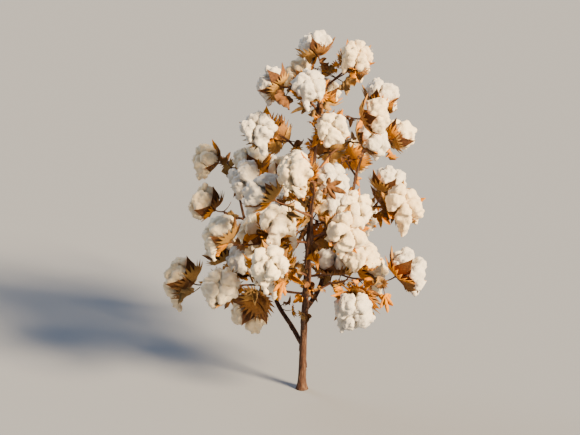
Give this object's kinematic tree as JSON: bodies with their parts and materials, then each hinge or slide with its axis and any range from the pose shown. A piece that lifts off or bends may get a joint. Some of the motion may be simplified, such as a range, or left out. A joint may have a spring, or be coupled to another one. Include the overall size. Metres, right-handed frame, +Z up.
{
  "type": "cotton plant",
  "caption": "Leafless cotton plant at harvest, with woody stems and zigzag fruiting branches that bear open bolls of white lint in dry brown burs, rooted in the ground.",
  "frame": {"origin": "centre of the level cut under the main stem, at ground level", "axes": "+Z up, +X the way the main stem leans at its tip"},
  "size_m": [0.459, 0.4688, 0.6436],
  "materials": {
    "bark": "dry grey-brown to reddish-brown bark with fine fissures and leaf scars",
    "lint": "matt cream-white cotton lint in orange-brown dry burs"
  },
  "bodies": {
    "root": {"main_stem": "bark", "side_stem_1": "bark", "side_stem_2": "bark", "side_stem_3": "bark", "fruiting_branch_01": "lint", "fruiting_branch_02": "lint", "fruiting_branch_03": "lint", "fruiting_branch_04": "lint", "fruiting_branch_05": "lint", "fruiting_branch_06": "lint", "fruiting_branch_07": "lint", "fruiting_branch_08": "lint", "fruiting_branch_09": "lint", "fruiting_branch_10": "lint", "fruiting_branch_11": "lint", "fruiting_branch_12": "lint", "fruiting_branch_13": "lint", "side_stem_1_branch_1": "lint", "side_stem_1_branch_2": "lint", "side_stem_1_branch_3": "lint", "side_stem_1_branch_4": "lint", "side_stem_1_tip": "lint", "side_stem_2_branch_1": "lint", "side_stem_2_branch_2": "lint", "side_stem_2_branch_3": "lint", "side_stem_2_branch_4": "lint", "side_stem_2_tip": "lint", "side_stem_3_branch_1": "lint", "side_stem_3_branch_2": "lint", "side_stem_3_branch_3": "lint", "side_stem_3_branch_4": "lint", "side_stem_3_tip": "lint", "stem_tip": "lint"}
  },
  "joints": []
}
